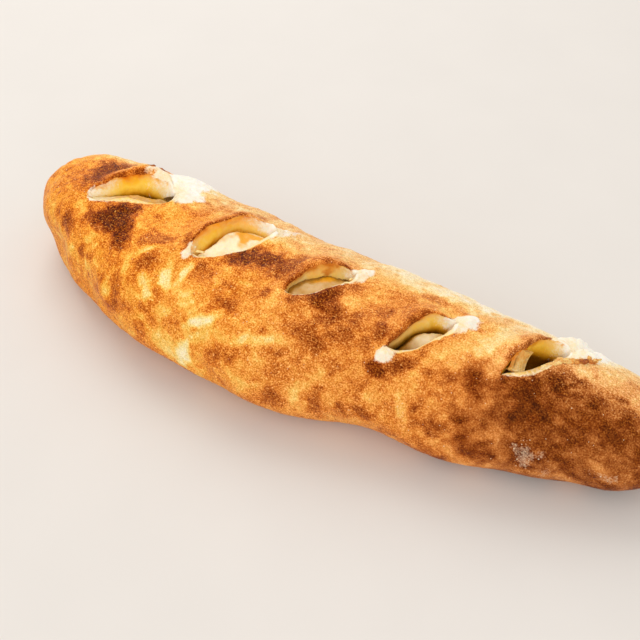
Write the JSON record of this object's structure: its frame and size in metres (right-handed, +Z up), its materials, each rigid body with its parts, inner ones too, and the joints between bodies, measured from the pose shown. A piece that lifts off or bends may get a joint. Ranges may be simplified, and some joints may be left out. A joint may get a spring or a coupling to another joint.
{
  "type": "stromboli",
  "caption": "Long baked stromboli: a browned dough roll, blunt at one end and tapered at the other, with slanting slashes along its top that open on melted cheese.",
  "frame": {"origin": "centre of the box round the roll, on the surface it rests on", "axes": "+X along the roll from the blunt end to the tapered end, +Y across it towards the raised lips of the slashes, +Z up"},
  "size_m": [0.375, 0.1106, 0.0631],
  "materials": {
    "baked_dough": "baked dough, golden to dark brown, finely speckled and slightly satin",
    "melted_cheese": "melted cheese, pale yellow, glossy with oil"
  },
  "bodies": {
    "root": {"crust": "baked_dough", "filling": "melted_cheese"}
  },
  "joints": []
}
